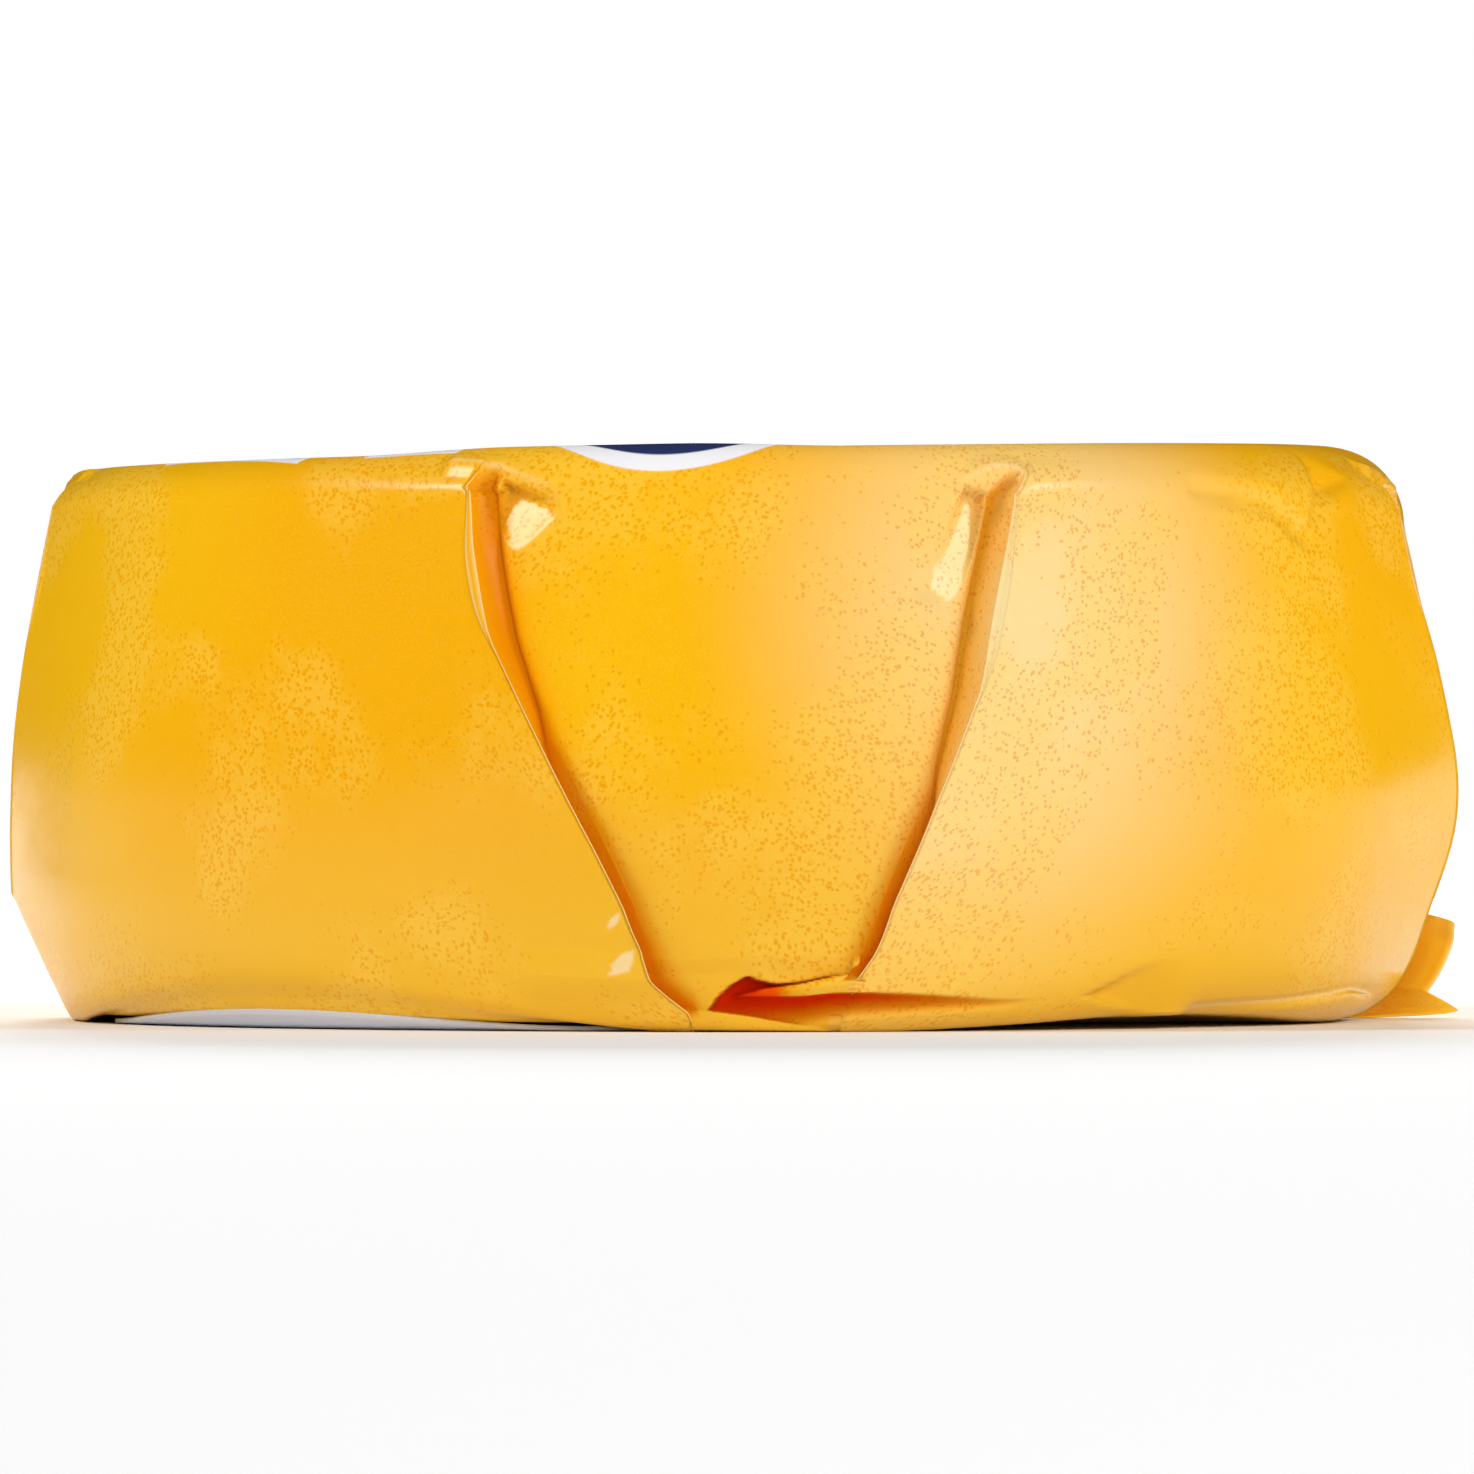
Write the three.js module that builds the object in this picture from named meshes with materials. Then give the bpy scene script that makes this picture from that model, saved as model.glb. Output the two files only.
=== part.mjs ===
// A small round tomme cheese, shut in a printed wrapper.
//
// One square sheet lies over the top of the disc, is gathered down the wall in eight flat pleats
// and is turned in under the base, where a round paper label holds it. The pack can't be seen
// into, so cheese and sheet are one solid, and the label is a second, thin one.
//
// Millimetres, +Z up. The origin is under the middle of the pack, on the surface it stands on.
// The front faces -Y. Azimuths are in degrees from the front, growing towards +X.

import * as THREE from 'three';

// ---- driving dimensions, in millimetres and degrees ----

const TOP_HEIGHT = 41.2; // height of the top at the pack's axis
const TOP_SLOPE = 0.0175; // the top rises this much for each millimetre towards +X
const TOP_CROWN = 0.35; // the top is a little fuller halfway out than at its rim

// What the section through the wall measures on each side of the pack.
// topRound: radius of the rounded top edge. shoulder: radius where that rounding meets the wall.
// belly, bellyHeight: largest radius and its height. hem, hemHeight: where the wall starts to
// turn under. turn, turnHeight: how full that turn is. foot: radius where the flat base starts.
const FRONT_SECTION = {
  topRound: 3.4, shoulder: 49.0, belly: 52.3, bellyHeight: 17.5,
  hem: 51.6, hemHeight: 6.4, turn: 51.4, turnHeight: 0.15, foot: 48.5,
};
const RIGHT_SECTION = {
  topRound: 5.6, shoulder: 48.2, belly: 51.1, bellyHeight: 17.2,
  hem: 48.7, hemHeight: 8.0, turn: 47.6, turnHeight: 0.6, foot: 43.0,
};
const LEFT_SECTION = {
  topRound: 2.9, shoulder: 50.3, belly: 52.6, bellyHeight: 20.0,
  hem: 52.8, hemHeight: 8.0, turn: 51.6, turnHeight: 0.2, foot: 48.6,
};

// The base stands clear of the surface here, from its edge to well inside it.
const RAISED_EDGE = { azimuth: 59, halfWidth: 46, lift: 1.8, inside: 0.15 };

// The top edge is fuller here, where the front left pleat gathers.
const FULL_EDGE = { azimuth: -13, halfWidth: 24, rise: 0.4, inside: 0.6 };

// Each side panel lies under the two pleats beside it. Their folded edges are given as knots of
// course and degrees from the panel's middle: at the head under the top edge, at the knee, down
// to the hem, and on under the base. The knee is the last knot above course 2.5.
const SIDE_PANELS = [
  {
    azimuth: 0,
    low: [
      [1.6, 21.3], [1.75, 21.9], [1.93, 22.8], [2.12, 21.6], [2.33, 19.3], [2.79, 10.6],
      [2.92, 8.4], [3.05, 7.1], [3.23, 6.4], [3.5, 3.5], [3.6, 3.25],
    ],
    high: [
      [1.6, 24.2], [1.78, 24.0], [1.88, 23.6], [2.02, 22.7], [2.445, 19.2], [2.69, 15.4],
      [2.92, 12.1], [3.2, 9.7], [3.6, 8.0],
    ],
  },
  {
    azimuth: 96,
    low: [[1.4, 24.0], [2.22, 21.5], [3.15, 8.0], [3.65, 5.0]],
    high: [[1.4, 22.0], [2.4, 18.0], [3.15, 3.8], [3.65, 3.0]],
  },
  {
    azimuth: 181,
    low: [[1.4, 23.0], [2.38, 19.5], [3.15, 8.5], [3.65, 6.0]],
    high: [[1.4, 22.0], [2.3, 18.0], [3.15, 10.0], [3.65, 7.5]],
  },
  {
    azimuth: 262,
    low: [[1.4, 23.0], [2.36, 20.0], [3.15, 9.0], [3.65, 6.0]],
    high: [[1.4, 18.0], [2.3, 15.0], [3.15, 6.0], [3.65, 4.0]],
  },
];

const PLEAT_STANDOFF = 1.7; // the folded edge stands this far proud of the panel beneath
const PLEAT_TUCK = 4.4; // how far a pleat reaches back under its folded edge
const PLEAT_REACH = 17; // degrees over which the upper panel rises to the folded edge
const FOLD_THICKNESS = 0.3; // the folded edge itself
const FLAT_SPACING = 0.25; // spacing of the pleat's lines where it lies flat in the sheet
const BASE_STEP = 0.5; // the side panels lie this much deeper on the base
const POCKET_DEPTH = 1.7; // hollow where a side panel turns in under the two pleats

// A stiff corner of the sheet that sticks out low down beside the right-hand side panel.
// It flares straight out, and so does a second, smaller tip beneath it.
const EAR = { panel: 1, flare: 3.5, top: 7.8, tipFlare: 7.6, tipHeight: 0.9, tipHalf: 1.5, reach: 7 };

const LABEL_RADIUS = 33.0;
const LABEL_OFFSET = 19.2; // from the pack's axis to the label's centre
const LABEL_AZIMUTH = -43;
const LABEL_THICKNESS = 0.3;
const LABEL_GAP = 0.3; // between the label and the sheet above it
const BED_MARGIN = 5; // the label's bed in the base runs on this far all round
const BED_RAMP = 8;

// How finely the solids are divided.
const SIDE_COLUMNS = 11;
const CORNER_COLUMNS = 18;
const LABEL_RINGS = [0.6, 0.8, 0.88, 0.94, 1];
const LABEL_COLUMNS = 40;

// ---- small helpers ----

const radians = THREE.MathUtils.degToRad;
const { lerp, clamp } = THREE.MathUtils;
const smooth = (low, high, x) => THREE.MathUtils.smoothstep(x, low, high);

// Straight-line value at x of a rule given as [position, value] pairs.
function along(rule, x) {
  const next = rule.findIndex(([at]) => at >= x);
  if (next === 0) return rule[0][1];
  if (next < 0) return rule[rule.length - 1][1];
  const [x0, y0] = rule[next - 1];
  const [x1, y1] = rule[next];
  return lerp(y0, y1, (x - x0) / (x1 - x0));
}

const wrapDegrees = (angle) => THREE.MathUtils.euclideanModulo(angle + 180, 360) - 180;

// ---- the plain body under the pleats ----

// A section runs from the middle of the top to the middle of the base. Its course goes from
// 0 to 5: 0 to 1 is the top, 1 to 2 the rounded top edge, 2 to 3 the wall, 3 to 4 the turn
// under the base, and 4 to 5 the base.

function sectionSizes(azimuth) {
  const across = Math.sin(radians(azimuth));
  const other = across > 0 ? RIGHT_SECTION : LEFT_SECTION;
  const share = across * across;
  const sizes = {};
  for (const key of Object.keys(FRONT_SECTION)) sizes[key] = lerp(FRONT_SECTION[key], other[key], share);
  return sizes;
}

// How much of a local form there is at this azimuth: 1 at its middle and 0 past its half width.
function shareNear(form, azimuth) {
  return 1 - smooth(0.3, 1, Math.abs(wrapDegrees(azimuth - form.azimuth)) / form.halfWidth);
}

function topHeight(radius, azimuth) {
  const out = clamp(radius / FRONT_SECTION.shoulder, 0, 1);
  const crown = TOP_CROWN * Math.sin(Math.PI * out) ** 2;
  const full = FULL_EDGE.rise * shareNear(FULL_EDGE, azimuth) * smooth(FULL_EDGE.inside, 1, out);
  return TOP_HEIGHT + TOP_SLOPE * radius * Math.sin(radians(azimuth)) + crown + full;
}

function wallRadius(sizes, wallTop, height) {
  if (height >= sizes.bellyHeight) {
    const up = (height - sizes.bellyHeight) / (wallTop - sizes.bellyHeight);
    return lerp(sizes.belly, sizes.shoulder, up ** 1.15);
  }
  const down = (sizes.bellyHeight - height) / (sizes.bellyHeight - sizes.hemHeight);
  return lerp(sizes.belly, sizes.hem, down ** 1.5);
}

// Radius and height of the plain body.
function bodySection(azimuth, course) {
  const sizes = sectionSizes(azimuth);
  const topRadius = sizes.shoulder - sizes.topRound;
  const edgeHeight = topHeight(topRadius, azimuth);
  const wallTop = edgeHeight - sizes.topRound;
  if (course <= 1) {
    const radius = topRadius * course;
    return [radius, topHeight(radius, azimuth)];
  }
  if (course <= 2) {
    const turn = (course - 1) * Math.PI / 2;
    return [topRadius + sizes.topRound * Math.sin(turn), wallTop + sizes.topRound * Math.cos(turn)];
  }
  if (course <= 3) {
    const height = lerp(wallTop, sizes.hemHeight, course - 2);
    return [wallRadius(sizes, wallTop, height), height];
  }
  const lift = RAISED_EDGE.lift * shareNear(RAISED_EDGE, azimuth);
  if (course <= 4) {
    const t = course - 3;
    const radius = (1 - t) ** 2 * sizes.hem + 2 * t * (1 - t) * sizes.turn + t * t * sizes.foot;
    const height = (1 - t) ** 2 * sizes.hemHeight + 2 * t * (1 - t) * sizes.turnHeight;
    return [radius, height + lift * smooth(0, 0.7, t)];
  }
  return [sizes.foot * (5 - course), lift * smooth(RAISED_EDGE.inside, 1, 5 - course)];
}

// The point that stands `level` proud of the body at this azimuth and course, and `flare`
// further out from the axis.
function bodyPoint(azimuth, course, level, flare = 0) {
  const step = 0.02;
  const [r0, z0] = bodySection(azimuth, Math.max(course - step, 0));
  const [r1, z1] = bodySection(azimuth, Math.min(course + step, 5));
  const [radius, height] = bodySection(azimuth, course);
  const length = Math.hypot(r1 - r0, z1 - z0);
  const proudRadius = radius + level * (z0 - z1) / length + flare;
  const angle = radians(azimuth);
  return new THREE.Vector3(
    proudRadius * Math.sin(angle), -proudRadius * Math.cos(angle), height + level * (r1 - r0) / length,
  );
}

// ---- the label's bed in the base ----

function labelDistance(azimuth, reach) {
  const turn = radians(azimuth - LABEL_AZIMUTH);
  return Math.sqrt(reach ** 2 + LABEL_OFFSET ** 2 - 2 * reach * LABEL_OFFSET * Math.cos(turn));
}

// Distance from the middle of the base, measured along the section.
function reachFromBase(azimuth, course) {
  const { foot, hemHeight } = sectionSizes(azimuth);
  return course >= 4 ? foot * (5 - course) : foot + (4 - course) * hemHeight * 1.25;
}

function bedDepth(azimuth, course) {
  if (course < 3) return 0;
  const past = labelDistance(azimuth, reachFromBase(azimuth, course)) - LABEL_RADIUS - BED_MARGIN;
  return (LABEL_THICKNESS + LABEL_GAP) * (1 - smooth(0, BED_RAMP, past));
}

// ---- pleats ----

// turn is +1 where the corner panel lies at the higher azimuth and -1 where it lies at the lower.
const pleats = SIDE_PANELS.flatMap((panel, index) => [
  { line: panel.low, panel: index, middle: panel.azimuth, turn: -1 },
  { line: panel.high, panel: index, middle: panel.azimuth, turn: 1 },
]);

const STANDOFF_RULE = [
  [1.5, 0], [1.72, 0.35], [2, 0.72], [2.35, 1], [2.8, 1], [3, 0.85],
  [3.5, 0.5], [4, 0],
];
const FOLDED_RULE = [[1.6, 0], [1.8, 0.3], [2.15, 0.75], [2.5, 1], [4.45, 1], [4.8, 0]];
const SIDE_LEVEL_RULE = [[3, 0], [3.35, 1], [3.7, 1], [4, 0]];

const foldedEdge = (pleat, course) => pleat.middle + pleat.turn * along(pleat.line, course);

const standoff = (course) => PLEAT_STANDOFF * along(STANDOFF_RULE, course);

// How far the ear carries a pleat's folded edge straight out from the axis.
function earFlare(pleat, course) {
  if (pleat.panel !== EAR.panel || pleat.turn < 0 || course < 2.5 || course > 4) return 0;
  const height = bodySection(foldedEdge(pleat, course), course)[1];
  const tab = EAR.flare * (1 - smooth(EAR.top - 0.6, EAR.top + 0.4, height)) * smooth(0, 0.7, height);
  const tip = (EAR.tipFlare - EAR.flare) * Math.max(0, 1 - Math.abs(height - EAR.tipHeight) / EAR.tipHalf);
  return tab + tip;
}

function sideLevel(course) {
  const pocket = POCKET_DEPTH * along(SIDE_LEVEL_RULE, course);
  const step = BASE_STEP * along([[3.6, 0], [4, 1], [4.45, 1], [4.8, 0]], course);
  return -Math.max(pocket, step);
}

// A corner panel rises to the folded edge on each side of it.
function cornerRise(before, after, azimuth, course) {
  const rise = { level: 0, flare: 0 };
  for (const pleat of [before, after]) {
    const away = Math.abs(wrapDegrees(azimuth - foldedEdge(pleat, course)));
    rise.level += standoff(course) * Math.max(0, 1 - away / PLEAT_REACH) ** 2;
    rise.flare += earFlare(pleat, course) * Math.max(0, 1 - away / EAR.reach) ** 2;
  }
  return rise;
}

// The four lines of a pleat, from its folded edge to the panel beneath: the edge, the underside
// of the edge, the bottom of the tuck, and the panel below the edge.
function pleatLine(pleat, line, course) {
  const folded = along(FOLDED_RULE, course);
  const edge = foldedEdge(pleat, course);
  const radius = Math.max(bodySection(edge, course)[0], 1);
  const size = Math.min(1, radius / FRONT_SECTION.foot);
  const edgeLevel = standoff(course);
  const panelLevel = sideLevel(course);
  const under = edgeLevel - Math.min(FOLD_THICKNESS, 0.6 * (edgeLevel - panelLevel));
  const flare = earFlare(pleat, course);
  const [shift, level, out] = [
    [0, edgeLevel, flare],
    [lerp(FLAT_SPACING, -0.12, folded), under, 0.9 * flare],
    [lerp(2 * FLAT_SPACING, -PLEAT_TUCK, folded), lerp(under, panelLevel, 0.9), 0],
    [3 * FLAT_SPACING, panelLevel, 0],
  ][line];
  const azimuth = edge - pleat.turn * THREE.MathUtils.radToDeg(shift * size / radius);
  return { azimuth, level, flare: out };
}

// ---- the grid of the wrapper ----

// One entry for each line that runs from the top's middle to the base's middle. Each gives the
// azimuth, level and flare of that line at a course.
function wrapperLines() {
  const lines = [];
  pleats.forEach((pleat, index) => {
    const next = pleats[(index + 1) % pleats.length];
    const order = pleat.turn < 0 ? [0, 1, 2, 3] : [3, 2, 1, 0];
    for (const line of order) lines.push((course) => pleatLine(pleat, line, course));
    const overSide = pleat.turn < 0;
    const count = overSide ? SIDE_COLUMNS : CORNER_COLUMNS;
    for (let step = 1; step <= count; step += 1) {
      const share = (1 - Math.cos(Math.PI * step / (count + 1))) / 2;
      lines.push((course) => {
        const from = pleatLine(pleat, order[3], course).azimuth;
        const to = pleatLine(next, overSide ? 3 : 0, course).azimuth;
        const azimuth = from + THREE.MathUtils.euclideanModulo(to - from, 360) * share;
        const rise = overSide ? { level: sideLevel(course), flare: 0 }
          : cornerRise(pleat, next, azimuth, course);
        return { azimuth, ...rise };
      });
    }
  });
  return lines;
}

const COURSES = [
  0.3, 0.55, 0.78, 0.93, 1, 1.25, 1.5, 1.75, 2,
  2.06, 2.13, 2.2, 2.28, 2.36, 2.44, 2.52, 2.6, 2.68, 2.76, 2.84, 2.92, 3,
  3.06, 3.12, 3.25, 3.38, 3.5, 3.62, 3.76, 3.9, 4, 4.15, 4.3, 4.45, 4.65, 4.82,
];

// A closed skin over rings of equal length, from a first pole to a last one.
function closedSkin(firstPole, rings, lastPole) {
  const count = rings[0].length;
  const points = [firstPole, ...rings.flat(), lastPole];
  const index = [];
  const at = (ring, column) => 1 + ring * count + (column % count);
  for (let column = 0; column < count; column += 1) {
    index.push(0, at(0, column), at(0, column + 1));
    for (let ring = 0; ring + 1 < rings.length; ring += 1) {
      index.push(at(ring, column), at(ring + 1, column), at(ring, column + 1));
      index.push(at(ring, column + 1), at(ring + 1, column), at(ring + 1, column + 1));
    }
    index.push(points.length - 1, at(rings.length - 1, column + 1), at(rings.length - 1, column));
  }
  const geometry = new THREE.BufferGeometry().setFromPoints(points);
  geometry.setIndex(index);
  geometry.computeVertexNormals();
  return geometry;
}

function wrapperGeometry() {
  const lines = wrapperLines();
  const rings = COURSES.map((course) => lines.map((line) => {
    const { azimuth, level, flare } = line(course);
    return bodyPoint(azimuth, course, level - bedDepth(azimuth, course), flare);
  }));
  const bed = LABEL_THICKNESS + LABEL_GAP;
  return closedSkin(bodyPoint(0, 0, 0), rings, new THREE.Vector3(0, 0, bed));
}

// ---- the label ----

// The point of the label this far from its centre, at a depth inwards from its outer face.
function labelPoint(distance, turn, depth) {
  const centre = radians(LABEL_AZIMUTH);
  const x = LABEL_OFFSET * Math.sin(centre) + distance * Math.sin(turn);
  const y = -LABEL_OFFSET * Math.cos(centre) - distance * Math.cos(turn);
  const azimuth = THREE.MathUtils.radToDeg(Math.atan2(x, -y));
  const reach = Math.hypot(x, y);
  const { foot, hemHeight } = sectionSizes(azimuth);
  if (reach <= foot) return new THREE.Vector3(x, y, depth);
  return bodyPoint(azimuth, 4 - (reach - foot) / (hemHeight * 1.25), -depth);
}

function labelGeometry() {
  const face = (depth) => LABEL_RINGS.map((share) => Array.from({ length: LABEL_COLUMNS }, (_, column) => (
    labelPoint(LABEL_RADIUS * share, 2 * Math.PI * column / LABEL_COLUMNS, depth))));
  const rings = [...face(LABEL_THICKNESS), ...face(0).reverse()];
  return closedSkin(labelPoint(0, 0, LABEL_THICKNESS), rings, labelPoint(0, 0, 0));
}

// ---- the pack ----

const printedFilm = new THREE.MeshStandardMaterial({ color: 0xf6b612, roughness: 0.32, metalness: 0 });
const whitePaper = new THREE.MeshStandardMaterial({ color: 0xe6e7ea, roughness: 0.5, metalness: 0 });

const wrapper = new THREE.Mesh(wrapperGeometry(), printedFilm);
wrapper.name = 'wrapped_pack';

const label = new THREE.Mesh(labelGeometry(), whitePaper);
label.name = 'base_label';

// The pack is not quite regular, so it is centred over the origin, and set down, by its own box.
const pack = new THREE.Group();
pack.add(wrapper, label);
const box = new THREE.Box3().setFromObject(pack);
const middle = box.getCenter(new THREE.Vector3());
for (const mesh of [wrapper, label]) mesh.geometry.translate(-middle.x, -middle.y, -box.min.z);

const group = new THREE.Group();
group.add(pack);

export default group;
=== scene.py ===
# %% [markdown]
# # A wrapped tomme cheese
# The object is a small round cheese in a golden, glossy printed wrapper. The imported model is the
# fixed frame: it says how large the pack is and where it stands. This script adds the finer skin,
# its print, the paper label, the light and the camera.

# %% Load the frame
import math

import bmesh
import bpy
import numpy as np
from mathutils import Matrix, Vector


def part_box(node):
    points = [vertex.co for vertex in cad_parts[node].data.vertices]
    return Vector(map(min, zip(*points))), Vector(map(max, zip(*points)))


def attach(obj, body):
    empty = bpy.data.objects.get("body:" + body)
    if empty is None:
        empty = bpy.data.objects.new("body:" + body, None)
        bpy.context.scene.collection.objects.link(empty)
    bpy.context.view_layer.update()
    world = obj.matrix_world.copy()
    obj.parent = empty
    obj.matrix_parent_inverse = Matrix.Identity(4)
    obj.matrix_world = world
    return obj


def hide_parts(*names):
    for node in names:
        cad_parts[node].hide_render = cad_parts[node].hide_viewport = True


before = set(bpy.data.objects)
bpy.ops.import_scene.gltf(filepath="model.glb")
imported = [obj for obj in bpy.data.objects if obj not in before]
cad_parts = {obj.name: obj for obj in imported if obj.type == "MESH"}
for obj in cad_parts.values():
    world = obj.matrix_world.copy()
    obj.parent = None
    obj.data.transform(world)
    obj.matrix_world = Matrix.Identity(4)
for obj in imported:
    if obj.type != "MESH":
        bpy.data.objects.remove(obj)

scene = bpy.context.scene
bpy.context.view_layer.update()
MM = 0.001  # one millimetre, in Blender's metres
pack_low, pack_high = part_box("wrapped_pack")
print("pack size, mm:", [round((high - low) / MM, 1) for low, high in zip(pack_low, pack_high)])

# %% [markdown]
# ## Small tools
# Film bends by smooth rules of position, so most of the work is done by functions of two numbers:
# the azimuth round the pack, and the height or the place along a section. numpy works such a rule
# out for a whole grid at once.

# %% Rules and ramps
def smooth(low, high, x):
    """0 below low, 1 above high, and an even S between."""
    t = np.clip((np.asarray(x, float) - low) / (high - low), 0, 1)
    return t * t * (3 - 2 * t)


def mix(a, b, t):
    return a + (b - a) * t


def rule(x, *pairs, blur=0.0):
    """The value at x of a rule given as (position, value) pairs, with its corners rounded by blur."""
    places, values = zip(*pairs)
    shifts = np.linspace(-blur, blur, 5) if blur else [0.0]
    return sum(np.interp(np.asarray(x, float) + shift, places, values) for shift in shifts) / len(shifts)


def wrap_degrees(angle):
    return (np.asarray(angle, float) + 180) % 360 - 180


# %% [markdown]
# ## The plain body
# Under its pleats the pack is a disc with a rounded top edge, a wall that leans outward to a
# belly, and a turn under the base. A section through it runs from the middle of the top to the
# middle of the base. Its course is 0 to 1 on the top, 1 to 2 round the top edge, 2 to 3 down the
# wall, 3 to 4 round the turn and 4 to 5 on the base. The sizes are the pack's own, in
# millimetres, and they change a little from its left to its right.

# %% Sizes of the body
TOP_HEIGHT = 41.2
TOP_SLOPE = 0.0175
TOP_CROWN = 0.35

FRONT_SECTION = dict(top_round=3.4, shoulder=49.0, belly=52.3, belly_height=17.5,
                     hem=51.6, hem_height=6.4, turn=51.4, turn_height=0.15, foot=48.5)
RIGHT_SECTION = dict(top_round=5.6, shoulder=48.2, belly=51.1, belly_height=17.2,
                     hem=48.7, hem_height=8.0, turn=47.6, turn_height=0.6, foot=43.0)
LEFT_SECTION = dict(top_round=2.9, shoulder=50.3, belly=52.6, belly_height=20.0,
                    hem=52.8, hem_height=8.0, turn=51.6, turn_height=0.2, foot=48.6)

RAISED_EDGE = dict(inside=0.6, lift=[  # pairs of azimuth and lift of the base's edge
    (13, 0), (27, 0.5), (34, 0.85), (45, 0.95), (54, 0.7), (64, 0.25), (75, 0)])
FULL_EDGE = dict(azimuth=-13, half_width=24, rise=0.4, inside=0.6)


# %% The section
def section_sizes(azimuth):
    across = np.sin(np.radians(azimuth))
    share = across ** 2
    return {
        key: mix(FRONT_SECTION[key], np.where(across > 0, RIGHT_SECTION[key], LEFT_SECTION[key]), share)
        for key in FRONT_SECTION
    }


def top_height(radius, azimuth):
    out = np.clip(radius / FRONT_SECTION["shoulder"], 0, 1)
    crown = TOP_CROWN * np.sin(np.pi * out) ** 2
    away = np.abs(wrap_degrees(azimuth - FULL_EDGE["azimuth"])) / FULL_EDGE["half_width"]
    full = FULL_EDGE["rise"] * (1 - smooth(0.3, 1, away)) * smooth(FULL_EDGE["inside"], 1, out)
    return TOP_HEIGHT + TOP_SLOPE * radius * np.sin(np.radians(azimuth)) + crown + full


def sharp_section(azimuth, course):
    """Radius and height of the plain body, with a corner where two of its stretches meet."""
    azimuth, course = np.broadcast_arrays(np.asarray(azimuth, float), np.asarray(course, float))
    size = section_sizes(azimuth)
    top_radius = size["shoulder"] - size["top_round"]
    wall_top = top_height(top_radius, azimuth) - size["top_round"]
    lift = rule(wrap_degrees(azimuth), *RAISED_EDGE["lift"], blur=3.0)

    flat = np.clip(course, 0, 1) * top_radius
    corner = np.clip(course - 1, 0, 1) * np.pi / 2
    edge_radius = top_radius + size["top_round"] * np.sin(corner)
    edge_height = wall_top + size["top_round"] * np.cos(corner)

    wall = mix(wall_top, size["hem_height"], np.clip(course - 2, 0, 1))
    above = np.clip((wall - size["belly_height"]) / (wall_top - size["belly_height"]), 0, 1)
    below = np.clip((size["belly_height"] - wall) / (size["belly_height"] - size["hem_height"]), 0, 1)
    wall_radius = np.where(
        wall >= size["belly_height"],
        mix(size["belly"], size["shoulder"], above ** 1.15),
        mix(size["belly"], size["hem"], below ** 1.5),
    )

    t = np.clip(course - 3, 0, 1)
    turn_radius = (1 - t) ** 2 * size["hem"] + 2 * t * (1 - t) * size["turn"] + t * t * size["foot"]
    turn_height = (1 - t) ** 2 * size["hem_height"] + 2 * t * (1 - t) * size["turn_height"]
    turn_height = turn_height + lift * smooth(0, 0.7, t)

    inward = np.clip(5 - course, 0, 1)
    stretches = [course <= 1, course <= 2, course <= 3, course <= 4]
    radius = np.select(stretches, [flat, edge_radius, wall_radius, turn_radius], size["foot"] * inward)
    height = np.select(stretches, [top_height(flat, azimuth), edge_height, wall, turn_height],
                       lift * smooth(RAISED_EDGE["inside"], 1, inward))
    return radius, height


CORNER_BLUR = 0.09  # a share of one stretch of the course


def section(azimuth, course):
    """The same with the corners at the belly and the hem rounded off, as film bends them."""
    blur = CORNER_BLUR * smooth(2.05, 2.4, course) * (1 - smooth(3.5, 3.9, course))
    samples = [sharp_section(azimuth, course + blur * shift) for shift in (-1, -0.6, -0.2, 0.2, 0.6, 1)]
    return np.mean(samples, axis=0)


def body_point(azimuth, course, level, flare=0.0):
    """Points that stand `level` proud of the body and `flare` further out, in millimetres."""
    step = 0.02
    r0, z0 = section(azimuth, np.maximum(course - step, 0))
    r1, z1 = section(azimuth, np.minimum(course + step, 5))
    radius, height = section(azimuth, course)
    length = np.hypot(r1 - r0, z1 - z0)
    proud = radius + level * (z0 - z1) / length + flare
    angle = np.radians(azimuth)
    up = height + level * (r1 - r0) / length
    return np.stack([proud * np.sin(angle), -proud * np.cos(angle), up], -1)


print("wall radius at the belly, front / right / left:",
      [round(float(section(a, 2.65)[0]), 1) for a in (0, 90, -90)])

# %% [markdown]
# ## Pleats
# A square sheet has too much paper for a round wall, so the surplus goes into eight pleats.
# Four side panels lie underneath. On each side of one, a corner panel comes in over it, folds
# back on itself and joins the side panel at the bottom of the tuck. The upper third of a pleat
# stands as a small ridge, and lower down it lies over flat. The folded edge itself is a thin
# roll with a faint crease beside it, which is what catches the light. Simulated cloth would fold
# by chance, so each pleat is a rule of its own instead. Its line is measured: pairs of course and
# degrees away from the middle of its side panel.

# %% The pleats' sizes
SIDE_PANELS = [
    dict(azimuth=0,
         low=[(1.6, 21.3), (1.75, 21.9), (1.93, 22.8), (2.12, 21.6), (2.33, 19.3), (2.79, 10.6),
              (2.92, 8.4), (3.05, 7.1), (3.23, 6.4), (3.5, 3.5), (3.6, 3.25)],
         high=[(1.6, 24.2), (1.78, 24.0), (1.88, 23.6), (2.02, 22.7), (2.445, 19.2), (2.69, 15.4),
               (2.92, 12.1), (3.2, 9.7), (3.6, 8.0)]),
    dict(azimuth=96,
         low=[(1.4, 24.0), (2.22, 21.5), (3.15, 8.0), (3.65, 5.0)],
         high=[(1.4, 22.0), (2.4, 18.0), (3.15, 3.8), (3.65, 3.0)]),
    dict(azimuth=181,
         low=[(1.4, 23.0), (2.38, 19.5), (3.15, 8.5), (3.65, 6.0)],
         high=[(1.4, 22.0), (2.3, 18.0), (3.15, 10.0), (3.65, 7.5)]),
    dict(azimuth=262,
         low=[(1.4, 23.0), (2.36, 20.0), (3.15, 9.0), (3.65, 6.0)],
         high=[(1.4, 18.0), (2.3, 15.0), (3.15, 6.0), (3.65, 4.0)]),
]
FLAP_END = 3.24  # course where the front right flap rolls over into a lip
pleats = []
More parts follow.
